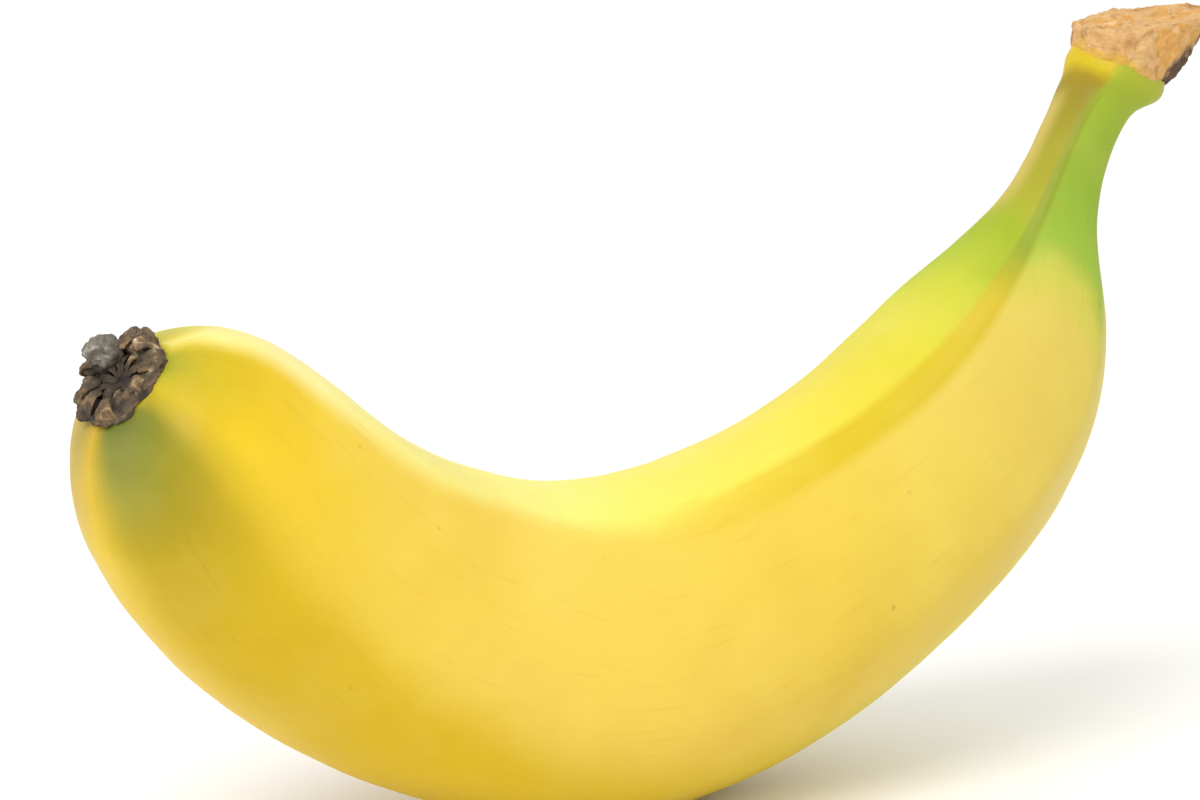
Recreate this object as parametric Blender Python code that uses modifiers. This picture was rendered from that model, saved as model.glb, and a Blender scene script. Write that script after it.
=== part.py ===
"""A dessert banana, one solid: withered blossom end, body, neck, stem and cut crown.

Metres, +Z up. It rests on the flattened middle of its belly, +X runs towards the stem,
and the curve lies in the XZ plane. The origin is the middle of the resting face.
"""

import math

import bmesh
import bpy
import numpy as np
from mathutils import Vector

MM = 0.001

# The centreline starts where the peel ends at the blossom and runs to the top of the stem.
# Distances along it are in mm. A heading is the centreline's slope in degrees.
HEADINGS = (
    (0, -44), (14, -53), (34, -35), (60, -13), (85, 18),
    (110, 34), (136, 65), (156, 69), (170, 61), (190, 58),
)
BLOSSOM_X, BLOSSOM_Z = -57.6, 53.7

# Radius of the peel along the centreline.
BODY_RADII = (
    (0, 6.0), (2.5, 9.6), (7, 12.7), (14, 15.4), (26, 17.2), (43, 18.0), (60, 19.1),
    (72, 19.6), (85, 18.9), (100, 17.6), (114, 16.2), (128, 14.4), (139, 10.2),
    (148, 5.7), (157, 4.5), (163, 5.5), (167, 5.6),
)

# Five soft ridges. The angle is that of the first one, from the inner side of the curve
# towards -Y, and it drifts as the ridges wind round the fruit.
RIDGES = 5
RIDGE_ANGLES = ((0, 20), (50, 38), (100, 33), (144, 42), (170, 60))
RIDGE_HEIGHTS = ((0, 0.035), (20, 0.022), (70, 0.014), (120, 0.026), (145, 0.05), (170, 0.03))

# The withered flower on the blossom end: distance beyond the peel, and radius.
BLOSSOM_RINGS = ((0.7, 5.7), (2.0, 5.6), (3.0, 4.2), (2.2, 1.9))
BLOSSOM_CROOK = 0.07

# The stub of crown above the stem: distance, half length in the plane of the curve,
# half width across it, and how far it leans to the outer side.
CROWN_RINGS = (
    (170, 6.8, 5.9, 0.5), (174.5, 8.0, 6.5, 0.7), (180, 8.9, 7.0, 0.9), (188, 9.6, 7.4, 1.2),
)
STEM_TOP = 168.5
CROWN_SQUARENESS = 3.2
CROWN_CUT_AT = 174.0
CROWN_CUT_TILT = 32.0

RING_POINTS = 2 * RIDGES
SMOOTHING_LEVELS = 2
CUTTER_SIZE = 60.0
CENTRELINE_STEP = 0.5


def remove_everything():
    for obj in list(bpy.data.objects):
        bpy.data.objects.remove(obj, do_unlink=True)


def make_collection(name, hidden):
    collection = bpy.data.collections.new(name)
    collection.hide_render = hidden
    bpy.context.scene.collection.children.link(collection)
    return collection


def peel_material():
    material = bpy.data.materials.new("peel")
    material.use_nodes = True
    shader = material.node_tree.nodes["Principled BSDF"]
    shader.inputs["Base Color"].default_value = (0.83, 0.58, 0.07, 1.0)
    shader.inputs["Roughness"].default_value = 0.42
    shader.inputs["Metallic"].default_value = 0.0
    return material


def read_off(table, distance):
    distances, values = zip(*table)
    return float(np.interp(distance, distances, values))


def centreline_point(distance):
    """The point of the centreline at this distance, in mm. Below 0 it runs straight on."""
    point = Vector((BLOSSOM_X, 0.0, BLOSSOM_Z))
    steps = max(1, round(abs(distance) / CENTRELINE_STEP))
    step = distance / steps
    for index in range(steps):
        slope = math.radians(read_off(HEADINGS, (index + 0.5) * step))
        point += Vector((math.cos(slope), 0.0, math.sin(slope))) * step
    return point


def ring_axes(distance):
    """Unit vectors along the centreline, to the inner side of the curve, and to -Y."""
    slope = math.radians(read_off(HEADINGS, distance))
    along = Vector((math.cos(slope), 0.0, math.sin(slope)))
    inner = Vector((-math.sin(slope), 0.0, math.cos(slope)))
    return along, inner, Vector((0.0, -1.0, 0.0))


def cage_radii(radius, ridge_height):
    """Cage radii of a ridge point and a flat point.

    Subdivision draws each point in towards its neighbours, so these are the radii that
    leave the finished ridge and flat at radius * (1 +- ridge_height).
    """
    own = 2 / 3
    neighbours = math.cos(math.pi / RIDGES) / 3
    mean = radius / (own + neighbours)
    swing = radius * ridge_height / (own - neighbours)
    return mean + swing, mean - swing


def add_ring(mesh, distance, inner_radii, side_radii, lean=0.0, turn=None):
    """A ring of cage points, ridge and flat by turns, as bmesh circle edges."""
    _, inner, side = ring_axes(distance)
    centre = centreline_point(distance) - inner * lean
    first = math.radians(read_off(RIDGE_ANGLES, distance) if turn is None else turn)
    points = bmesh.ops.create_circle(mesh, segments=RING_POINTS, radius=1.0)["verts"]
    for index, point in enumerate(points):
        angle = first + index * math.pi / RIDGES
        wider = squared(angle) if distance > STEM_TOP else 1.0
        across = inner * math.cos(angle) * inner_radii[index % 2]
        aside = side * math.sin(angle) * side_radii[index % 2]
        point.co = (centre + (across + aside) * wider) * MM
    return [edge for edge in mesh.edges if set(edge.verts) <= set(points)]


def body_rings(mesh):
    rings = []
    for distance, radius in BODY_RADII:
        radii = cage_radii(radius, read_off(RIDGE_HEIGHTS, distance))
        rings.append(add_ring(mesh, distance, radii, radii))
    return rings


def blossom_rings(mesh):
    """Rings from the rim of the withered flower in to its hollow."""
    rings = []
    for beyond, radius in BLOSSOM_RINGS:
        radii = cage_radii(radius, -BLOSSOM_CROOK)
        rings.append(add_ring(mesh, -beyond, radii, radii, turn=RIDGE_ANGLES[0][1]))
    return rings


def squared(angle):
    """How much a round ring widens towards a rounded square at this angle."""
    across, aside = abs(math.cos(angle)), abs(math.sin(angle))
    reach = across**CROWN_SQUARENESS + aside**CROWN_SQUARENESS
    return reach ** (-1.0 / CROWN_SQUARENESS)


def crown_rings(mesh):
    rings = []
    turn = RIDGE_ANGLES[-1][1]
    for distance, half_length, half_width, lean in CROWN_RINGS:
        rings.append(add_ring(mesh, distance, (half_length,) * 2, (half_width,) * 2, lean, turn))
    return rings


def bridge(mesh, first, second):
    bmesh.ops.bridge_loops(mesh, edges=first + second)


def close_end(mesh, ring):
    bmesh.ops.edgeloop_fill(mesh, edges=ring)


def build_cage():
    """The coarse cage of the whole fruit, closed at both ends."""
    mesh = bmesh.new()
    blossom = blossom_rings(mesh)[::-1]
    rings = blossom + body_rings(mesh) + crown_rings(mesh)
    for first, second in zip(rings, rings[1:]):
        bridge(mesh, first, second)
    close_end(mesh, rings[0])
    close_end(mesh, rings[-1])
    bmesh.ops.recalc_face_normals(mesh, faces=mesh.faces)
    for face in mesh.faces:
        face.smooth = True
    return mesh


def box_cutter(name, collection, centre, up):
    """A block whose lower face is centred on the point and faces against the up vector."""
    mesh = bmesh.new()
    bmesh.ops.create_cube(mesh, size=CUTTER_SIZE * MM)
    bmesh.ops.translate(mesh, verts=mesh.verts, vec=(0, 0, CUTTER_SIZE * MM / 2))
    data = bpy.data.meshes.new(name)
    mesh.to_mesh(data)
    mesh.free()
    cutter = bpy.data.objects.new(name, data)
    cutter.rotation_euler = up.to_track_quat("Z", "Y").to_euler()
    cutter.location = centre
    cutter.hide_render = True
    cutter.display_type = "WIRE"
    collection.objects.link(cutter)
    return cutter


def cut(obj, cutter):
    modifier = obj.modifiers.new(cutter.name, "BOOLEAN")
    modifier.operation = "DIFFERENCE"
    modifier.solver = "EXACT"
    modifier.object = cutter


def crown_cutter(collection):
    """The block that leaves the slanted cut face on the crown, lower on its inner side."""
    along, inner, _ = ring_axes(CROWN_CUT_AT)
    tilt = math.radians(CROWN_CUT_TILT)
    up = along * math.cos(tilt) + inner * math.sin(tilt)
    return box_cutter("crown_cutter", collection, centreline_point(CROWN_CUT_AT) * MM, up)


def resting_cutter(collection):
    """The block that flattens the belly at the height of the surface it rests on."""
    return box_cutter("resting_cutter", collection, Vector((0, 0, 0)), Vector((0, 0, -1)))


def build_banana(collection, cutters):
    cage = build_cage()
    data = bpy.data.meshes.new("banana")
    cage.to_mesh(data)
    cage.free()
    banana = bpy.data.objects.new("banana", data)
    data.materials.append(peel_material())
    collection.objects.link(banana)
    smooth = banana.modifiers.new("smooth", "SUBSURF")
    smooth.levels = SMOOTHING_LEVELS
    smooth.render_levels = SMOOTHING_LEVELS
    cut(banana, crown_cutter(cutters))
    cut(banana, resting_cutter(cutters))


def main():
    remove_everything()
    fruit = make_collection("Banana", False)
    cutters = make_collection("Cutters", True)
    build_banana(fruit, cutters)


main()
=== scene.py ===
"""A dessert banana resting on its belly on a pale floor, under soft studio light.

Lengths in the tables are in millimetres, angles in degrees. The peel is lofted ring by
ring along the curved middle line of the fruit, from the withered flower to the cut crown.
"""

import math

import bmesh
import bpy
import numpy as np
from mathutils import Matrix, Vector


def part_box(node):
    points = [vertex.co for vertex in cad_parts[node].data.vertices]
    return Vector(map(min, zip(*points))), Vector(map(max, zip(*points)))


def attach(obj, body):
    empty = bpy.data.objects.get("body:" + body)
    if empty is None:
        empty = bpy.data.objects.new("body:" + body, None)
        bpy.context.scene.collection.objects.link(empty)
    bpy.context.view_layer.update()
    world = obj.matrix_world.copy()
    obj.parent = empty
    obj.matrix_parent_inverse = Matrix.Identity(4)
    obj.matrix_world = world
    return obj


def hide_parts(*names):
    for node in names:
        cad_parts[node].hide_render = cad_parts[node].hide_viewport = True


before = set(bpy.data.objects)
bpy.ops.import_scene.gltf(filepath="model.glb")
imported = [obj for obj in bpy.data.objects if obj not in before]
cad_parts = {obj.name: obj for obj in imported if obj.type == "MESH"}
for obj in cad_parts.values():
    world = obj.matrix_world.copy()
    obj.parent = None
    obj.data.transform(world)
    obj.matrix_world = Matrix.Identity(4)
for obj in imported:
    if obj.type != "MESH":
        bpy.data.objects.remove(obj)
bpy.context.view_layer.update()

MM = 0.001
LOW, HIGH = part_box("banana")

# The middle line: slope of the line at each distance from the blossom end.
HEADINGS = (
    (0, -44), (14, -53), (34, -35), (60, -13), (85, 18),
    (110, 34), (136, 65), (156, 69), (170, 61), (190, 58),
)
LINE_STEP = 0.5
# The blossom end's place: in from the end of the box, and up from its floor.
BLOSSOM_INSET = 5.26
BLOSSOM_HEIGHT = 53.7

# Radius of the peel along the middle line.
BODY_RADII = (
    (-0.2, 3.6), (0, 6.3), (2.5, 10.6), (7, 13.75), (14, 16.25), (26, 17.5), (43, 18.05),
    (60, 19.05), (72, 19.5), (85, 18.9), (100, 17.65), (114, 16.45), (128, 15.0), (139, 11.05),
    (148, 5.4), (156, 4.15), (162.0, 4.15), (163.9, 4.5), (165.3, 5.6), (166.6, 5.8), (167.8, 5.4),
)
# How far each ring leans to the outer side of the curve.
LEANS = (
    (0, -0.5), (7, -0.8), (14, -0.75), (26, -0.3), (45, 0.0),
    (120, 0.0), (130, 0.3), (139, 0.2), (148, -0.6), (157, -1.0), (161.5, -0.9),
    (163.5, -0.1), (165.3, 0.9),
)

# Five ridges. The angle is that of the first, from the inner side of the curve to -Y.
RIDGES = 5
RIDGE_ANGLES = ((0, 20), (50, 38), (100, 33), (144, 42), (170, 60))
RIDGE_HEIGHTS = ((0, 0.035), (20, 0.022), (70, 0.014), (120, 0.026), (145, 0.05), (170, 0.03))
RIDGE_SHARPNESS = ((0, 1.2), (25, 0.7), (60, 0.8), (100, 1.2), (130, 1.6), (150, 1.4), (170, 0.4))

# The crown above the stem: distance, half length, half width, lean outwards. The peel ends
# a little lower and narrower, inside the torn flesh of the stub.
CROWN_RINGS = (
    (170, 5.4, 5.1, 0.8), (174.5, 6.5, 5.5, 0.9), (180, 7.4, 6.0, 1.1), (188, 8.0, 6.4, 1.3),
)
STUB_RINGS = (
    (165.4, 4.7, 4.8, 0.6), (166.8, 5.8, 5.85, 0.65), (168.0, 6.3, 6.0, 0.8),
)
STUB_RIM = (174.0, 7.6, 6.5, 1.15)
# Rings across the stub's cut: share of the rim, and how far they sink below the cut.
CUT_RINGS = ((1.0, 0.0), (0.93, 0.1), (0.6, 0.5), (0.28, 0.25))
CROWN_SQUARENESS = 3.2
CROWN_CUT_AT = 173.5
CROWN_CUT_TILT = 34.0
PEEL_BELOW_CUT = 1.8
CUT_PRECISION = 1e-6

# Lumps and dents: name, size, height, and the grey of the pattern that stays in place.
PEEL_UNEVENNESS = (("slow swell", 30, 0.9, 0.53), ("small dents", 7, 0.2, 0.55))
STUB_UNEVENNESS = (
    ("torn lumps", 3.4, 1.0, 0.56), ("torn flakes", 1.2, 0.55, 0.52),
    ("torn grain", 0.45, 0.22, 0.5),
)
BED_UNEVENNESS = (("clumps", 1.8, 1.3, 0.6), ("crumbs", 0.8, 0.6, 0.5))
SCALE_UNEVENNESS = (("crumple", 1.5, 0.7, 0.5), ("crinkle", 0.6, 0.22, 0.5))
LUMP_UNEVENNESS = (("lumps", 1.9, 1.5, 0.5), ("crinkle", 0.6, 0.4, 0.5))
UNEVENNESS_DEPTH = 2

RING_POINTS = 2 * RIDGES
PEEL_SMOOTHING, STUB_SMOOTHING, BED_SMOOTHING, DRY_BITS_SMOOTHING = 4, 5, 4, 2
FULL_CREASE = 10   # the sharpness that a crease of 1 stands for

# The flat layout of the peel: its two ends along the fruit, and the point where it is slit.
ALONG_START, ALONG_END = -3.0, 190.0
SEAM_POINT = 6


# Working in edit mode


def deselect_all():
    bpy.ops.object.select_all(action="DESELECT")


def make_active(obj):
    deselect_all()
    obj.select_set(True)
    bpy.context.view_layer.objects.active = obj


def mesh_in_edit():
    mesh = bmesh.from_edit_mesh(bpy.context.active_object.data)
    for part in (mesh.verts, mesh.edges, mesh.faces):
        part.ensure_lookup_table()
    return mesh


def select_points(test):
    """Selects the points, and what lies wholly among them, that pass the test."""
    mesh = mesh_in_edit()
    for part in (mesh.verts, mesh.edges, mesh.faces):
        for item in part:
            item.select = False
    for point in mesh.verts:
        point.select = test(point)
    mesh.select_flush(True)
    bmesh.update_edit_mesh(bpy.context.active_object.data)


def apply_modifier(obj, kind, **settings):
    make_active(obj)
    modifier = obj.modifiers.new(kind.lower(), kind)
    for name, value in settings.items():
        setattr(modifier, name, value)
    bpy.ops.object.modifier_apply(modifier=modifier.name)


def subdivide_smoothly(obj, levels):
    apply_modifier(obj, "SUBSURF", levels=levels, render_levels=levels)


def make_uneven(obj, patterns, prefix=""):
    """Pushes the surface in and out by each cloudy pattern in turn."""
    for name, size, height, middle in patterns:
        texture = bpy.data.textures.new(prefix + name, "CLOUDS")
        texture.noise_scale = size * MM
        texture.noise_depth = UNEVENNESS_DEPTH
        apply_modifier(
            obj, "DISPLACE", texture=texture, strength=height * MM, mid_level=middle,
            texture_coords="LOCAL", direction="NORMAL",
        )


# The middle line and its rings


def read_off(table, distance):
    """The table's value at this distance, in a straight line between its rows."""
    distances, values = zip(*table)
    return float(np.interp(distance, distances, values))


def line_point(distance):
    """Point of the middle line in metres."""
    point = Vector((
        LOW.x + BLOSSOM_INSET * MM, (LOW.y + HIGH.y) / 2, LOW.z + BLOSSOM_HEIGHT * MM,
    ))
    steps = max(1, round(abs(distance) / LINE_STEP))
    step = distance / steps
    for index in range(steps):
        slope = math.radians(read_off(HEADINGS, (index + 0.5) * step))
        point += Vector((math.cos(slope), 0.0, math.sin(slope))) * step * MM
    return point


def ring_axes(distance):
    """Unit vectors along the line, to the inner side of the curve, and to -Y."""
    slope = math.radians(read_off(HEADINGS, distance))
    along = Vector((math.cos(slope), 0.0, math.sin(slope)))
    inner = Vector((-math.sin(slope), 0.0, math.cos(slope)))
    return along, inner, Vector((0.0, -1.0, 0.0))


def cage_radii(radius, ridge_height, sharpness):
    """Radii of ridge and flat points that smooth down to radius * (1 +- ridge_height)."""
    keep = 1 - 2**-sharpness / 3
    lean_in = math.cos(math.pi / RIDGES)
    rows = ((keep, (1 - keep) * lean_in), (lean_in / 3, 2 / 3))
    wanted = (radius * (1 + ridge_height), radius * (1 - ridge_height))
    return np.linalg.solve(rows, wanted)


def turned_to(distance, turn):
    """Rotation that stands a circle across the line with its first point at the turn."""
    along, inner, side = ring_axes(distance)
    first = inner * math.cos(turn) + side * math.sin(turn)
    return Matrix((first.cross(along), first, along)).transposed().to_euler()


def add_ring(distance, ridge_radius, flat_radius, turn, lean=0.0):
    """Adds a ring of ridge and flat points by turns, and gives its centre."""
    _, inner, _ = ring_axes(distance)
    centre = line_point(distance) - inner * lean * MM
    bpy.ops.mesh.primitive_circle_add(
        vertices=RING_POINTS, radius=flat_radius * MM, location=centre,
        rotation=turned_to(distance, turn),
    )
    newest = len(mesh_in_edit().verts) - RING_POINTS
    select_points(lambda p: p.index >= newest and (p.index - newest) % 2 == 0)
    share = ridge_radius / flat_radius
    bpy.ops.transform.resize(value=(share,) * 3, center_override=centre)
    return centre


def square_off(distance, half_length, half_width, turn, centre):
    """Widens the newest round ring to a rounded oblong, point by point."""
    _, inner, side = ring_axes(distance)
    newest = len(mesh_in_edit().verts) - RING_POINTS
    for index in range(RING_POINTS):
        angle = turn + index * math.pi / RIDGES
        across, aside = abs(math.cos(angle)), abs(math.sin(angle))
        corner = across**CROWN_SQUARENESS + aside**CROWN_SQUARENESS
        wider = corner ** (-1 / CROWN_SQUARENESS)
        place = inner * math.cos(angle) * half_length + side * math.sin(angle) * half_width
        select_points(lambda p: p.index == newest + index)
        point = mesh_in_edit().verts[newest + index].co
        bpy.ops.transform.translate(value=centre + place * wider * MM - point)


def add_crown_ring(distance, half_length, half_width, lean):
    """Adds an oblong ring of the crown."""
    turn = math.radians(RIDGE_ANGLES[-1][1])
    centre = add_ring(distance, half_width, half_width, turn, lean)
    square_off(distance, half_length, half_width, turn, centre)


def bridge_newest_rings():
    count = len(mesh_in_edit().verts)
    select_points(lambda p: p.index >= count - 2 * RING_POINTS)
    mesh = mesh_in_edit()
    for edge in mesh.edges:
        if len(edge.link_faces) > 1:
            edge.select = False
    bpy.ops.mesh.bridge_edge_loops()


def start_mesh(name):
    """An empty mesh, left in edit mode."""
    deselect_all()
    bpy.ops.mesh.primitive_circle_add(vertices=3, radius=MM)
    obj = bpy.context.active_object
    obj.name = obj.data.name = name
    bpy.ops.object.mode_set(mode="EDIT")
    bpy.ops.mesh.select_all(action="SELECT")
    bpy.ops.mesh.delete(type="VERT")
    return obj


def finish_mesh(obj):
    """Turns the faces outwards, leaves edit mode and shades the mesh smooth."""
    bpy.ops.mesh.select_all(action="SELECT")
    bpy.ops.mesh.normals_make_consistent(inside=False)
    bpy.ops.object.mode_set(mode="OBJECT")
    make_active(obj)
    bpy.ops.object.shade_smooth()


def settle(obj):
    """Puts the object's place, turn and size into its mesh."""
    make_active(obj)
    bpy.ops.object.transform_apply(location=True, rotation=True, scale=True)


def build_rings():
    """Lofts the whole peel and gives the distance of each ring."""
    distances = []
    for distance, radius in BODY_RADII:
        ridge, flat = cage_radii(
            radius, read_off(RIDGE_HEIGHTS, distance), read_off(RIDGE_SHARPNESS, distance)
        )
        turn = math.radians(read_off(RIDGE_ANGLES, distance))
        add_ring(distance, ridge, flat, turn, read_off(LEANS, distance))
        distances.append(distance)
        if len(distances) > 1:
            bridge_newest_rings()
    for distance, half_length, half_width, lean in CROWN_RINGS:
        add_crown_ring(distance, half_length, half_width, lean)
        distances.append(distance)
        bridge_newest_rings()
    return distances


def close_ends():
    """Fills the first ring and the last."""
    last = len(mesh_in_edit().verts) // RING_POINTS - 1
    for ring in (0, last):
        select_points(lambda p: p.index // RING_POINTS == ring)
        bpy.ops.mesh.edge_face_add()


def sharpen_ridges(distances):
    """Creases the edges that run along the ridges, up to the crown."""
    mesh = mesh_in_edit()
    layers = mesh.edges.layers.float
    crease = layers.get("crease_edge") or layers.new("crease_edge")
    body_points = len(BODY_RADII) * RING_POINTS
    for edge in mesh.edges:
        first, second = sorted(p.index for p in edge.verts)
        runs_along = first % RING_POINTS == second % RING_POINTS
        on_ridge = first % 2 == 0 and second < body_points
        if runs_along and on_ridge and len(edge.link_faces) == 2:
            middle = (distances[first // RING_POINTS] + distances[second // RING_POINTS]) / 2
            edge[crease] = math.sqrt(read_off(RIDGE_SHARPNESS, middle) / FULL_CREASE)
    bmesh.update_edit_mesh(bpy.context.active_object.data)


def lay_out(distances):
    """Lays the peel out flat: along the fruit across, round the fruit upwards."""
    mesh = mesh_in_edit()
    layout = mesh.loops.layers.uv.new("OFBake")
    span = ALONG_END - ALONG_START
    for face in mesh.faces:
        columns = [(loop.vert.index - SEAM_POINT) % RING_POINTS for loop in face.loops]
        wraps = 0 in columns and RING_POINTS - 1 in columns
        for loop, column in zip(face.loops, columns):
            if wraps and column == 0:
                column = RING_POINTS
            distance = distances[loop.vert.index // RING_POINTS]
            loop[layout].uv = ((distance - ALONG_START) / span, column / RING_POINTS)
    bmesh.update_edit_mesh(bpy.context.active_object.data)


def crown_plane(below=0.0):
    """Point and normal of the cut across the crown, lower on the inner side."""
    along, inner, _ = ring_axes(CROWN_CUT_AT)
    tilt = math.radians(CROWN_CUT_TILT)
    return line_point(CROWN_CUT_AT - below), along * math.cos(tilt) + inner * math.sin(tilt)


def slice_off(point, normal):
    """Cuts away what lies beyond the plane and closes the cut."""
    bpy.ops.mesh.select_mode(type="VERT")
    bpy.ops.mesh.select_all(action="SELECT")
    bpy.ops.mesh.bisect(
        plane_co=point, plane_no=normal, use_fill=True, clear_outer=True, clear_inner=False,
        threshold=CUT_PRECISION,
    )


def build_peel():
    """The whole peel, flat where it rests and cut just below the crown's cut."""
    peel = start_mesh("peel")
    distances = build_rings()
    close_ends()
    sharpen_ridges(distances)
    lay_out(distances)
    finish_mesh(peel)
    subdivide_smoothly(peel, PEEL_SMOOTHING)
    make_uneven(peel, PEEL_UNEVENNESS)
    make_active(peel)
    bpy.ops.object.mode_set(mode="EDIT")
    slice_off(*crown_plane(PEEL_BELOW_CUT))
    slice_off(Vector((0, 0, LOW.z)), Vector((0, 0, -1)))
    bpy.ops.object.mode_set(mode="OBJECT")
    settle(peel)
    return peel


# Crown stub


def lay_on_cut(point_index, share, sink):
    """Slides a point along the stem onto the cut, then draws it in towards the middle."""
    place, normal = crown_plane()
    along, inner, _ = ring_axes(CROWN_CUT_AT)
    point = mesh_in_edit().verts[point_index].co.copy()
    on_cut = point + along * ((place - point).dot(normal) / along.dot(normal))
    middle = place - inner * STUB_RIM[3] * MM
    target = middle + (on_cut - middle) * share - normal * sink * MM
    select_points(lambda p: p.index == point_index)
    bpy.ops.transform.translate(value=target - point)


def build_crown_stub():
    """The torn flesh of the crown, with its slanted cut."""
    stub = start_mesh("crown_stub")
    for index, ring in enumerate(STUB_RINGS):
        add_crown_ring(*ring)
        if index:
            bridge_newest_rings()
    for share, sink in CUT_RINGS:
        add_crown_ring(*STUB_RIM)
        newest = len(mesh_in_edit().verts) - RING_POINTS
        for index in range(RING_POINTS):
            lay_on_cut(newest + index, share, sink)
        bridge_newest_rings()
    close_ends()
    finish_mesh(stub)
    subdivide_smoothly(stub, STUB_SMOOTHING)
    make_uneven(stub, STUB_UNEVENNESS)
    settle(stub)
    return stub


# Withered flower

# The bed of the flower: distance beyond the peel, radius.
BED_RINGS = ((-1.2, 5.0), (0.2, 6.2), (1.0, 5.3), (1.0, 3.6), (0.2, 2.0))
BED_RIDGE, BED_FLAT = 0.99, 1.11   # shares of that radius, by turns
# Dry scales round the flower: how far round, distance out from the middle, length, width,
# how strongly they curl, and how far they lean out.
SCALES = (
    (8, 5.0, 5.6, 3.6, 115, 26), (45, 5.2, 5.4, 3.0, 150, 14), (84, 5.0, 5.2, 3.6, 130, 18),
    (118, 4.9, 6.0, 2.8, 165, 6), (150, 5.1, 5.0, 3.8, 115, 22), (190, 5.0, 5.4, 3.2, 140, 14),
    (228, 4.9, 5.4, 3.6, 150, 10), (262, 5.1, 5.0, 3.2, 120, 22), (300, 4.9, 5.8, 3.4, 145, 12),
    (335, 5.2, 5.6, 3.0, 130, 20), (28, 3.4, 6.2, 1.6, 185, -4), (66, 3.6, 6.8, 1.3, 210, 0),
    (100, 3.2, 6.4, 1.5, 200, -6), (138, 3.5, 6.6, 1.2, 215, 2), (170, 3.3, 6.0, 1.6, 180, -4),
    (210, 3.6, 6.6, 1.3, 205, 0), (245, 3.2, 6.2, 1.6, 200, -6), (285, 3.5, 6.6, 1.2, 210, 2),
    (320, 3.3, 6.2, 1.5, 185, -4), (352, 3.6, 6.4, 1.3, 200, 0),
)
# Rounded lumps of the flower: distance outwards, to the inner side, to -Y, and radius.
STUMP = (1.5, 1.2, -3.7, 2.3)
LOBES = (
    (0.9, 4.4, -0.6, 1.7), (0.2, -3.3, -2.7, 1.5), (0.1, -2.2, 3.6, 1.2), (0.5, 2.2, 3.6, 1.4),
    (0.8, 3.6, 1.8, 1.3), (0.1, -4.0, 0.9, 1.2), (0.6, -0.2, -3.9, 1.6), (1.0, 4.2, -2.2, 1.3),
)
LUMP_SEGMENTS, LUMP_RINGS = 16, 10
LUMP_SQUASH = (0.92, 1.08, 0.86)
# How the flower sits: degrees that it faces to -Y, how far its bed stands out, and its
# shift to the inner side and to -Y.
FLOWER_TIP, BED_TIP = 20.0, 8.0
BED_RAISED = 0.4
FLOWER_SHIFT = (0.55, 0.65)
# The dry scales: shares of their lengths and widths, how they narrow to the point and to
# the foot, and how deep the foot stands.
SCALE_LENGTH, SCALE_WIDTH = 0.78, 0.86
SCALE_NARROWING, SCALE_NARROWING_POWER = 0.72, 1.6
SCALE_FOOT, SCALE_FOOT_GROWTH = 0.55, 1.8
SCALE_COLUMNS, SCALE_ROWS = 4, 7
SCALE_THICKNESS = 0.34
SCALE_SUNK = 0.1
SAME_ROW = 1e-9
ASIDE = Vector((0, 1, 0))


def flower_axes():
    """Outwards from the blossom end, and the two directions across it."""
    along, inner, side = ring_axes(0)
    return -along, inner, side


def build_flower_bed():
    """The dry cushion on the blossom end, hollow in the middle."""
    bed = start_mesh("flower_bed")
    turn = math.radians(RIDGE_ANGLES[0][1])
    for index, (beyond, radius) in enumerate(BED_RINGS):
        add_ring(-beyond, radius * BED_RIDGE, radius * BED_FLAT, turn)
        if index:
            bridge_newest_rings()
    close_ends()
    finish_mesh(bed)
    subdivide_smoothly(bed, BED_SMOOTHING)
    make_uneven(bed, BED_UNEVENNESS)
    settle(bed)
    return bed


def build_scale(number, length, width, curl):
    """One dry scale that stands on its base, curls over and narrows to a point.

    Each finished row waits aside, so that it isn't taken for one that is still flat.
    """
    deselect_all()
    bpy.ops.mesh.primitive_grid_add(
        x_subdivisions=SCALE_COLUMNS, y_subdivisions=SCALE_ROWS, size=MM
    )
    scale = bpy.context.active_object
    scale.name = f"scale_{number}"
    bpy.ops.object.mode_set(mode="EDIT")
    rows = sorted({round(p.co.y, 9) for p in mesh_in_edit().verts})
    bend = length / math.radians(curl)
    for index, row in enumerate(rows):
        share = index / (len(rows) - 1)
        angle = math.radians(curl) * share
        to_point = 1.0 - SCALE_NARROWING * share**SCALE_NARROWING_POWER
        to_foot = min(1.0, SCALE_FOOT + SCALE_FOOT_GROWTH * share)
        narrow = width * to_point * to_foot
        target = Vector((0, bend * (1 - math.cos(angle)), bend * math.sin(angle))) * MM
        select_points(lambda p: abs(p.co.y - row) < SAME_ROW and abs(p.co.z) < SAME_ROW)
        bpy.ops.transform.resize(value=(narrow, 1, 1), center_override=(0, row, 0))
        bpy.ops.transform.translate(value=target - Vector((0, row, 0)) + ASIDE)
    bpy.ops.mesh.select_all(action="SELECT")
    bpy.ops.transform.translate(value=-ASIDE)
    bpy.ops.object.mode_set(mode="OBJECT")
    return scale


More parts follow.
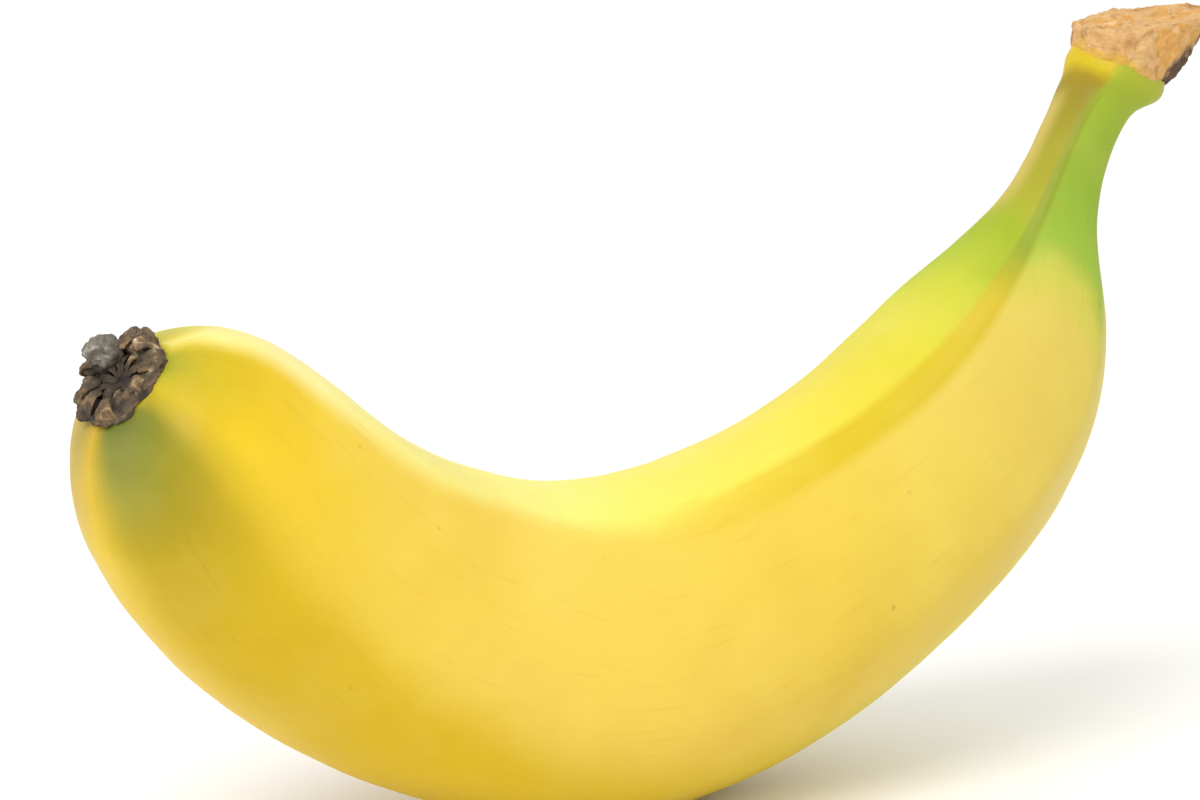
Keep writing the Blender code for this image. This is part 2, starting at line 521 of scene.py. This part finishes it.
def build_flower_scales():
    """All dry scales, each leaning out from the middle of the flower."""
    outwards, inner, side = flower_axes()
    scales = []
    for number, (around, out, length, width, curl, lean) in enumerate(SCALES):
        scale = build_scale(number, length * SCALE_LENGTH, width * SCALE_WIDTH, curl)
        angle = math.radians(around)
        radial = inner * math.cos(angle) + side * math.sin(angle)
        leaning = math.radians(lean)
        up = outwards * math.cos(leaning) + radial * math.sin(leaning)
        towards = -radial * math.cos(leaning) + outwards * math.sin(leaning)
        place = line_point(0) + (radial * out - up * SCALE_SUNK) * MM
        stand = Matrix((towards.cross(up), towards, up)).transposed().to_4x4()
        scale.matrix_world = Matrix.Translation(place) @ stand
        settle(scale)
        apply_modifier(scale, "SOLIDIFY", thickness=SCALE_THICKNESS * MM, offset=0.0)
        subdivide_smoothly(scale, DRY_BITS_SMOOTHING)
        scales.append(scale)
    whole = join_all("flower_scales", scales)
    bpy.ops.object.shade_smooth()
    make_uneven(whole, SCALE_UNEVENNESS)
    settle(whole)
    return whole


def build_lump(name, outwards_by, inner_by, side_by, radius):
    """A rounded dry lump of the flower, flattened and dented."""
    outwards, inner, side = flower_axes()
    place = line_point(0) + (outwards * outwards_by + inner * inner_by + side * side_by) * MM
    deselect_all()
    bpy.ops.mesh.primitive_uv_sphere_add(
        segments=LUMP_SEGMENTS, ring_count=LUMP_RINGS, radius=radius * MM, location=place
    )
    lump = bpy.context.active_object
    lump.name = lump.data.name = name
    bpy.ops.object.mode_set(mode="EDIT")
    bpy.ops.transform.resize(value=LUMP_SQUASH, center_override=place)
    bpy.ops.object.mode_set(mode="OBJECT")
    bpy.ops.object.shade_smooth()
    subdivide_smoothly(lump, DRY_BITS_SMOOTHING)
    make_uneven(lump, LUMP_UNEVENNESS, name + " ")
    return lump


def join_all(name, pieces):
    deselect_all()
    for piece in pieces:
        piece.select_set(True)
    bpy.context.view_layer.objects.active = pieces[0]
    bpy.ops.object.join()
    whole = pieces[0]
    whole.name = whole.data.name = name
    return whole


def face_the_front(piece, degrees, raised):
    """Tips a piece of the flower about the blossom end, so that it faces more to -Y."""
    settle(piece)
    outwards, inner, side = flower_axes()
    pivot = Matrix.Translation(line_point(0))
    tip = Matrix.Rotation(math.radians(degrees), 4, inner)
    off_centre = inner * FLOWER_SHIFT[0] + side * FLOWER_SHIFT[1] + outwards * raised
    shift = Matrix.Translation(off_centre * MM)
    piece.matrix_world = shift @ pivot @ tip @ pivot.inverted()
    settle(piece)


def build_flower():
    """The pieces of the withered flower, each with its finish."""
    lobes = [build_lump(f"lobe_{n}", *lobe) for n, lobe in enumerate(LOBES)]
    bed = build_flower_bed()
    face_the_front(bed, BED_TIP, BED_RAISED)
    on_bed = (
        (join_all("flower_lobes", lobes), "dry_lobes", LOBE_TONES),
        (build_flower_scales(), "dry_scales", SCALE_TONES),
        (build_lump("style_stump", *STUMP), "grey_stump", STUMP_TONES),
    )
    for piece, _, _ in on_bed:
        face_the_front(piece, FLOWER_TIP, 0.0)
    for piece, finish, tones in ((bed, "withered_bed", WITHERED_TONES),) + on_bed:
        give(piece, withered_finish(finish, tones))
        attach(piece, "root")


# Finishes


def linear(red, green, blue):
    """A colour given as 0 to 255 on screen, as the light it reflects."""
    def one(value):
        value /= 255
        return value / 12.92 if value <= 0.04045 else ((value + 0.055) / 1.055) ** 2.4
    return (one(red), one(green), one(blue), 1.0)


class Finish:
    """A procedural material under construction."""

    def __init__(self, name):
        self.material = bpy.data.materials.new(name)
        self.material.use_nodes = True
        self.tree = self.material.node_tree
        self.shader = self.tree.nodes["Principled BSDF"]
        self.object_place = self.add("ShaderNodeTexCoord").outputs["Object"]

    def add(self, kind, **settings):
        node = self.tree.nodes.new(kind)
        for name, value in settings.items():
            setattr(node, name, value)
        return node

    def plug(self, socket, value):
        if isinstance(value, bpy.types.NodeSocket):
            self.tree.links.new(value, socket)
        else:
            socket.default_value = value

    def math(self, operation, first, second=0.0, third=0.0):
        node = self.add("ShaderNodeMath", operation=operation)
        for socket, value in zip(node.inputs, (first, second, third)):
            self.plug(socket, value)
        return node.outputs[0]

    def noise(self, scale, detail, place=None, roughness=0.55, distortion=0.0):
        node = self.add("ShaderNodeTexNoise")
        self.plug(node.inputs["Vector"], place or self.object_place)
        node.inputs["Scale"].default_value = scale
        node.inputs["Detail"].default_value = detail
        node.inputs["Roughness"].default_value = roughness
        node.inputs["Distortion"].default_value = distortion
        return node.outputs["Fac"]

    def wander(self, scale, detail, reach):
        """A value that wanders over a span of this reach, with 0 in its middle."""
        return self.math("MULTIPLY_ADD", self.noise(scale, detail), reach, -reach / 2)

    def ramp(self, value, stops, smooth="LINEAR"):
        """Colours or greys along a value. A stop is (place, colour or grey)."""
        node = self.add("ShaderNodeValToRGB")
        node.color_ramp.interpolation = smooth
        elements = node.color_ramp.elements
        while len(elements) < len(stops):
            elements.new(1.0)
        for element, (place, colour) in zip(elements, sorted(stops, key=lambda s: s[0])):
            element.position = place
            element.color = colour if isinstance(colour, tuple) else (colour,) * 3 + (1.0,)
        self.plug(node.inputs["Fac"], value)
        return node.outputs["Color"]

    def mix(self, share, first, second, blend="MIX"):
        node = self.add("ShaderNodeMix", data_type="RGBA", blend_type=blend)
        self.plug(node.inputs["Factor"], share)
        colours = [s for s in node.inputs if s.type == "RGBA"]
        self.plug(colours[0], first)
        self.plug(colours[1], second)
        return next(s for s in node.outputs if s.type == "RGBA")

    def cover(self, colour, mask, strength, tint, blend="MIX"):
        """Lays a tint over the colour where the mask is white, at most this strong."""
        return self.mix(self.math("MULTIPLY", mask, strength), colour, linear(*tint), blend)

    def bump(self, height, distance, strength, under=None):
        node = self.add("ShaderNodeBump")
        node.inputs["Strength"].default_value = strength
        node.inputs["Distance"].default_value = distance
        self.plug(node.inputs["Height"], height)
        if under is not None:
            self.plug(node.inputs["Normal"], under)
        return node.outputs["Normal"]


def share_along(distance):
    """Where this distance lies in the flat layout, 0 to 1."""
    return (distance - ALONG_START) / (ALONG_END - ALONG_START)


def grey_along(*stops):
    """Ramp stops from a table of distance and grey."""
    return [(share_along(distance), grey) for distance, grey in stops]


# The tables below give the peel as it looks in bright light. Its own colour is deeper.
PEEL_DEPTH = 0.80


def along_stops(*stops):
    """Ramp stops from a table of distance and colour."""
    found = []
    for distance, colour in stops:
        deep = [part * PEEL_DEPTH for part in linear(*colour)[:3]]
        found.append((share_along(distance), (*deep, 1.0)))
    return found


# Colours of the peel by distance along the fruit, for each of its faces. They are partly the peel's
# own colour and partly painted light: the inner face is painted lighter, as lit from above, and the
# lower face darker, as in shade.
FRONT_FACE = (
    (0, (168, 166, 34)), (1.2, (198, 182, 30)), (4, (218, 190, 22)), (8, (236, 201, 24)),
    (14, (244, 208, 40)), (28, (244, 209, 66)), (50, (246, 212, 84)), (72, (246, 211, 82)),
    (92, (240, 207, 74)), (105, (235, 205, 76)), (122, (234, 208, 92)), (138, (229, 209, 96)),
    (142.5, (212, 209, 84)), (146, (162, 194, 62)), (152, (154, 187, 56)), (162, (164, 190, 52)),
    (166, (170, 190, 48)), (173, (206, 182, 70)),
)
LIT_INNER_FACE = (
    (0, (196, 188, 36)), (2, (222, 206, 60)), (5, (252, 238, 140)), (12, (254, 241, 160)),
    (30, (254, 242, 130)), (50, (254, 245, 130)), (75, (254, 236, 96)), (100, (246, 226, 72)),
    (115, (230, 214, 50)), (128, (222, 214, 52)), (136, (206, 208, 50)), (141, (180, 196, 42)),
    (145, (164, 186, 32)), (149, (176, 177, 44)), (156, (171, 166, 44)), (160.5, (162, 152, 36)),
    (163.5, (156, 140, 30)), (165.2, (170, 146, 26)), (166.6, (214, 190, 22)),
    (170, (226, 190, 50)),
)
SHADED_LOWER_FACE = (
    (0, (98, 112, 32)), (4, (130, 134, 30)), (8, (166, 154, 24)), (14, (198, 170, 18)),
    (24, (222, 188, 16)), (50, (232, 195, 14)), (80, (236, 208, 40)), (110, (236, 224, 92)),
    (132, (228, 225, 94)), (141, (176, 199, 62)), (152, (150, 184, 54)), (164, (168, 190, 52)),
    (173, (206, 176, 70)),
)
OUTER_FACE = (
    (0, (174, 150, 12)), (5, (208, 172, 12)), (14, (236, 204, 60)), (28, (242, 210, 74)),
    (50, (232, 196, 30)), (80, (226, 194, 20)), (110, (214, 206, 46)), (132, (206, 210, 58)),
    (141, (170, 196, 58)), (152, (150, 184, 54)), (164, (168, 190, 52)), (173, (206, 176, 70)),
)
# Painted shade: a darker line follows the first ridge, from the far half of the fruit up the stem.
RIDGE_SHADE_LINE = (
    (60, (236, 200, 40)), (100, (222, 192, 12)), (136, (212, 186, 12)), (144, (146, 162, 38)),
    (164, (146, 150, 40)),
)
# How the bands of colour bend: towards the ridges, and at random along and round the fruit.
BAND_ARCH = 0.022
BAND_WANDER, FACE_WANDER = 0.030, 0.024
# The lower face's colour starts sooner round the fruit in its near half.
LOWER_SOONER, LOWER_SOONER_FROM = 0.11, -0.05
# The streaks' scale along the fruit, and how closely the specks are scattered.
STREAK_STRETCH = 0.8
SPECK_CELLS = 170


def peel_finish():
    """Ripe peel: bands of colour along each face, ridges, marks, and a soft dull gloss."""
    finish = Finish("ripe_peel")
    layout = finish.add("ShaderNodeUVMap", uv_map="OFBake")
    split = finish.add("ShaderNodeSeparateXYZ")
    finish.plug(split.inputs[0], layout.outputs["UV"])
    along, around = split.outputs["X"], split.outputs["Y"]

    # How far from the middle of a face towards its ridges, 0 to 1.
    within = finish.math("FRACT", finish.math("MULTIPLY", around, RIDGES))
    to_ridge = finish.math("ABSOLUTE", finish.math("MULTIPLY_ADD", within, 2.0, -1.0))
    flatter = finish.ramp(along, grey_along((138, 1.0), (152, 0.15)))
    arch = finish.math("MULTIPLY", finish.math("POWER", to_ridge, 2.0), BAND_ARCH)
    arch = finish.math("MULTIPLY", arch, flatter)
    wander = finish.wander(70, 3, BAND_WANDER)
    bent = finish.math("ADD", finish.math("ADD", along, arch), wander)

    # Painted light in the face colours: the inner face lighter, as lit from above, and the lower
    # face darker, as in shade.
    front = finish.ramp(bent, along_stops(*FRONT_FACE))
    inner = finish.ramp(bent, along_stops(*LIT_INNER_FACE))
    lower = finish.ramp(bent, along_stops(*SHADED_LOWER_FACE))
    outer = finish.ramp(bent, along_stops(*OUTER_FACE))

    # Which face a point lies on. The first ridge is at 0.4 of the way round.
    drift = finish.wander(45, 2, FACE_WANDER)
    place_around = finish.math("ADD", around, drift)
    wider_tip = finish.ramp(along, grey_along((14, 0.045), (45, 0.0)))
    on_inner = finish.ramp(
        finish.math("SUBTRACT", place_around, wider_tip),
        [(0.10, 0.0), (0.22, 1.0), (0.370, 1.0), (0.412, 0.0)], "EASE",
    )
    near_half = finish.ramp(along, grey_along((8, 0.9), (45, 0.80), (80, 0.30), (105, 0.05)))
    sooner = finish.math("MULTIPLY_ADD", near_half, LOWER_SOONER, LOWER_SOONER_FROM)
    on_lower = finish.ramp(
        finish.math("ADD", place_around, sooner),
        [(0.60, 0.0), (0.68, 1.0), (0.90, 1.0), (1.0, 0.0)], "EASE",
    )
    on_outer = finish.ramp(
        place_around, [(0.0, 1.0), (0.14, 0.0), (0.735, 0.0), (0.800, 1.0)], "EASE"
    )
    colour = finish.mix(on_lower, front, lower)
    colour = finish.mix(on_outer, colour, outer)
    colour = finish.mix(on_inner, colour, inner)

    # Painted shade: a darker line on the first ridge. Painted highlight: a paler band on the inner
    # side of the stem.
    line = finish.ramp(to_ridge, [(0.70, 0.0), (0.88, 1.0)], "EASE")
    far_half = finish.ramp(
        along, grey_along((70, 0.0), (104, 0.9), (138, 0.8), (160, 0.65), (166, 0.0))
    )
    first_ridge = finish.ramp(
        around, [(0.32, 0.0), (0.36, 1.0), (0.43, 1.0), (0.47, 0.0)], "EASE"
    )
    colour = finish.mix(
        finish.math("MULTIPLY", finish.math("MULTIPLY", line, far_half), first_ridge), colour,
        finish.ramp(along, along_stops(*RIDGE_SHADE_LINE)),
    )
    # Painted highlight along the inner side of the stem.
    stem_side_highlight = finish.ramp(place_around, [(0.22, 1.0), (0.31, 0.0)], "EASE")
    on_stem = finish.ramp(bent, grey_along((146, 0.0), (151, 0.8), (161, 0.8), (164, 0.0)))
    colour = finish.cover(colour, stem_side_highlight, on_stem, (196, 178, 100))

    # Blotches, pale patches, streaks along the fruit, a few scuffs and specks.
    blotches = finish.ramp(finish.noise(38, 5, roughness=0.6), [(0.42, 0.0), (0.70, 1.0)])
    colour = finish.cover(colour, blotches, 0.20, (226, 190, 92), "MULTIPLY")
    light_patches = finish.ramp(finish.noise(55, 3), [(0.5, 0.0), (0.75, 1.0)])
    colour = finish.cover(colour, light_patches, 0.09, (255, 236, 150))
    turn = finish.math("MULTIPLY", around, 2 * math.pi)
    wrapped = finish.add("ShaderNodeCombineXYZ")
    finish.plug(wrapped.inputs["X"], finish.math("COSINE", turn))
    finish.plug(wrapped.inputs["Y"], finish.math("SINE", turn))
    finish.plug(wrapped.inputs["Z"], finish.math("MULTIPLY", along, STREAK_STRETCH))
    streaks = finish.noise(26, 3, wrapped.outputs[0])
    thin_streaks = finish.ramp(streaks, [(0.58, 0.0), (0.75, 1.0)])
    colour = finish.cover(colour, thin_streaks, 0.12, (214, 176, 74), "MULTIPLY")
    scuffs = finish.ramp(finish.noise(120, 6, roughness=0.7), [(0.66, 0.0), (0.76, 1.0)])
    colour = finish.cover(colour, scuffs, 0.35, (190, 150, 52))
    cells = finish.add("ShaderNodeTexVoronoi", feature="F1")
    finish.plug(cells.inputs["Vector"], finish.object_place)
    cells.inputs["Scale"].default_value = SPECK_CELLS
    near = finish.ramp(cells.outputs["Distance"], [(0.035, 1.0), (0.075, 0.0)])
    rare = finish.ramp(finish.noise(60, 1), [(0.56, 0.0), (0.62, 1.0)])
    specks = finish.math("MULTIPLY", near, rare)
    colour = finish.cover(colour, specks, 0.45, (140, 98, 36))
    finish.plug(finish.shader.inputs["Base Color"], colour)

    rough = finish.ramp(finish.noise(90, 4), [(0.3, 0.40), (0.7, 0.54)])
    finish.plug(finish.shader.inputs["Roughness"], rough)
    pores = finish.bump(finish.noise(1400, 3), 0.00006, 0.5)
    fibres = finish.bump(streaks, 0.0003, 0.12, pores)
    dimples = finish.bump(finish.noise(260, 3), 0.00018, 0.5, fibres)
    finish.plug(finish.shader.inputs["Normal"], dimples)
    finish.shader.inputs["Subsurface Weight"].default_value = 0.12
    finish.shader.inputs["Subsurface Radius"].default_value = (1.0, 0.7, 0.15)
    finish.shader.inputs["Subsurface Scale"].default_value = 0.004
    finish.shader.inputs["Coat Weight"].default_value = 0.03
    finish.shader.inputs["Coat Roughness"].default_value = 0.38
    finish.shader.inputs["Specular IOR Level"].default_value = 0.22
    return finish.material


# Tones of the withered flower from dark to pale, and where each lies in the pattern. The palest
# tone is partly the pale dry skin and partly painted highlight on the folds, laid at random.
WITHERED_PLACES = (0.32, 0.45, 0.56, 0.68)
WITHERED_TONES = ((24, 18, 13), (54, 41, 29), (84, 67, 46), (126, 104, 74))
LOBE_TONES = ((36, 28, 20), (74, 60, 42), (108, 92, 66), (178, 160, 130))
SCALE_TONES = ((36, 28, 18), (82, 64, 42), (130, 104, 68), (206, 186, 150))
STUMP_TONES = ((52, 46, 38), (84, 77, 66), (114, 107, 95), (166, 162, 150))
# The dark hollow: its middle outwards, to the inner side and to -Y, and its ragged reach.
HOLLOW = (0.8, -0.3, 0.6)
HOLLOW_RAGGED, HOLLOW_REACH = 2, 10


def flower_hollow():
    """Middle of the dark hollow of the flower."""
    outwards, inner, side = flower_axes()
    return line_point(0) + (outwards * HOLLOW[0] + inner * HOLLOW[1] + side * HOLLOW[2]) * MM


def withered_finish(name, tones):
    """Dry crumpled flower in these tones, darker towards its hollow."""
    finish = Finish(name)
    tone = finish.ramp(
        finish.noise(420, 6, roughness=0.65, distortion=0.6),
        [(place, linear(*tone)) for place, tone in zip(WITHERED_PLACES, tones)],
    )
    from_hollow = finish.add("ShaderNodeVectorMath", operation="DISTANCE")
    finish.plug(from_hollow.inputs[0], finish.object_place)
    from_hollow.inputs[1].default_value = flower_hollow()
    ragged = finish.math(
        "MULTIPLY_ADD", finish.noise(700, 3), HOLLOW_RAGGED * MM, from_hollow.outputs["Value"]
    )
    dark = finish.ramp(
        finish.math("DIVIDE", ragged, HOLLOW_REACH * MM), [(0.27, 0.85), (0.44, 0.0)]
    )
    tone = finish.mix(dark, tone, linear(38, 30, 24))
    finish.plug(finish.shader.inputs["Base Color"], tone)
    rough = finish.ramp(finish.noise(600, 3), [(0.3, 0.62), (0.7, 0.85)])
    finish.plug(finish.shader.inputs["Roughness"], rough)
    finish.plug(finish.shader.inputs["Normal"], finish.bump(finish.noise(900, 6), 0.0006, 0.8))
    return finish.material


# The torn crown. Its golden foot starts this far below the middle of the cut, and grows
# from this far to the outer side at this rate. Its dark rim lies beyond a plane: the plane's
# direction to -Y and to the inner side, its distance, and how it draws back lower down.
GOLDEN_FOOT, GOLDEN_START, GOLDEN_FADE = 6.4, 3.0, 0.2
CROWN_RAGGED = 5.0
RIM_SIDE, RIM_INNER = 0.51, -0.86
RIM_AT, RIM_FLARE = -7.05, -0.28


def torn_finish():
    """Tan torn flesh, with orange patches, dark pits and a dark outer rim."""
    finish = Finish("torn_crown")
    along, inner, side = ring_axes(CROWN_CUT_AT)
    middle = line_point(CROWN_CUT_AT)

    def from_middle(direction, extra=0.0):
        """Distance in mm from the middle of the cut in this direction."""
        node = finish.add("ShaderNodeVectorMath", operation="DOT_PRODUCT")
        finish.plug(node.inputs[0], finish.object_place)
        node.inputs[1].default_value = direction / MM
        return finish.math("ADD", node.outputs["Value"], extra - middle.dot(direction) / MM)

    patches = finish.noise(260, 5, roughness=0.6, distortion=0.4)
    colour = finish.ramp(
        patches,
        [(0.30, linear(158, 112, 56)), (0.42, linear(196, 150, 92)), (0.50, linear(206, 166, 112)),
         (0.58, linear(200, 144, 60)), (0.66, linear(206, 160, 98)), (0.76, linear(220, 188, 142))],
    )
    pits = finish.ramp(finish.noise(520, 3), [(0.60, 0.0), (0.68, 1.0)])
    colour = finish.cover(colour, pits, 0.40, (120, 84, 40))
    ragged = finish.wander(420, 4, CROWN_RAGGED)
    ragged_rim = finish.math("MULTIPLY", ragged, 0.5)
    low_down = finish.math("ADD", from_middle(along, GOLDEN_FOOT), ragged)
    on_foot = finish.ramp(low_down, [(0.0, 0.75), (1.0, 0.0)])
    to_inner = finish.math("MULTIPLY", from_middle(inner, GOLDEN_START), GOLDEN_FADE)
    golden = finish.math("MULTIPLY", on_foot, finish.ramp(to_inner, [(0.1, 0.25), (0.9, 1.0)]))
    colour = finish.mix(golden, colour, linear(206, 164, 52))
    below = finish.math("MINIMUM", from_middle(along), 0.0)
    flare = finish.math("MULTIPLY_ADD", below, RIM_FLARE, RIM_AT)
    towards_rim = from_middle(side * RIM_SIDE + inner * RIM_INNER)
    rim = finish.math("ADD", finish.math("ADD", towards_rim, flare), ragged_rim)
    colour = finish.mix(finish.ramp(rim, [(0.0, 0.0), (0.7, 1.0)]), colour, linear(78, 50, 22))
    finish.plug(finish.shader.inputs["Base Color"], colour)
    rough = finish.ramp(finish.noise(400, 3), [(0.3, 0.6), (0.7, 0.85)])
    finish.plug(finish.shader.inputs["Roughness"], rough)
    finish.plug(finish.shader.inputs["Normal"], finish.bump(finish.noise(1100, 6), 0.0004, 0.8))
    return finish.material


def give(obj, material):
    """Gives the piece its finish, and the slot that the finish goes by."""
    obj.data.materials.clear()
    obj.data.materials.append(material)


# Floor, light and camera

CAMERA_PLACE = (-0.2439, -0.4630, 0.1625)
CAMERA_AIM = (0.4539, 0.8644, -0.2166)
LENS = 145.7
FLOOR_SIZE = 6.0
FLOOR_COLOUR = (0.90, 0.89, 0.87, 1.0)
KEY_PLACE = (-0.7, -0.45, 1.0)
KEY_AIM = (0, 0, 0.04)
KEY_SIZE, KEY_POWER = 0.8, 9.0


def build_stage():
    bpy.ops.mesh.primitive_plane_add(size=FLOOR_SIZE, location=(0, 0, LOW.z))
    floor = bpy.context.active_object
    floor.name = "floor"
    material = bpy.data.materials.new("pale_floor")
    material.use_nodes = True
    shader = material.node_tree.nodes["Principled BSDF"]
    shader.inputs["Base Color"].default_value = FLOOR_COLOUR
    shader.inputs["Roughness"].default_value = 0.65
    floor.data.materials.append(material)


def add_softbox():
    """A round soft light from the upper left."""
    data = bpy.data.lights.new("key", "AREA")
    data.shape = "DISK"
    data.size = KEY_SIZE
    data.energy = KEY_POWER
    light = bpy.data.objects.new("key", data)
    light.location = KEY_PLACE
    towards = Vector(KEY_AIM) - Vector(KEY_PLACE)
    light.rotation_euler = towards.to_track_quat("-Z", "Y").to_euler()
    bpy.context.scene.collection.objects.link(light)


def build_light():
    world = bpy.data.worlds.new("studio")
    world.use_nodes = True
    background = world.node_tree.nodes["Background"]
    background.inputs["Color"].default_value = (1.0, 1.0, 1.0, 1.0)
    background.inputs["Strength"].default_value = 1.0
    bpy.context.scene.world = world
    add_softbox()
    bpy.context.scene.view_settings.view_transform = "Standard"


def build_camera():
    data = bpy.data.cameras.new("camera")
    data.lens = LENS
    camera = bpy.data.objects.new("camera", data)
    camera.location = CAMERA_PLACE
    camera.rotation_euler = Vector(CAMERA_AIM).to_track_quat("-Z", "Y").to_euler()
    bpy.context.scene.collection.objects.link(camera)
    bpy.context.scene.camera = camera


def main():
    peel = build_peel()
    give(peel, peel_finish())
    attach(peel, "root")
    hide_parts("banana")
    stub = build_crown_stub()
    give(stub, torn_finish())
    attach(stub, "root")
    build_flower()
    build_stage()
    build_light()
    build_camera()


main()
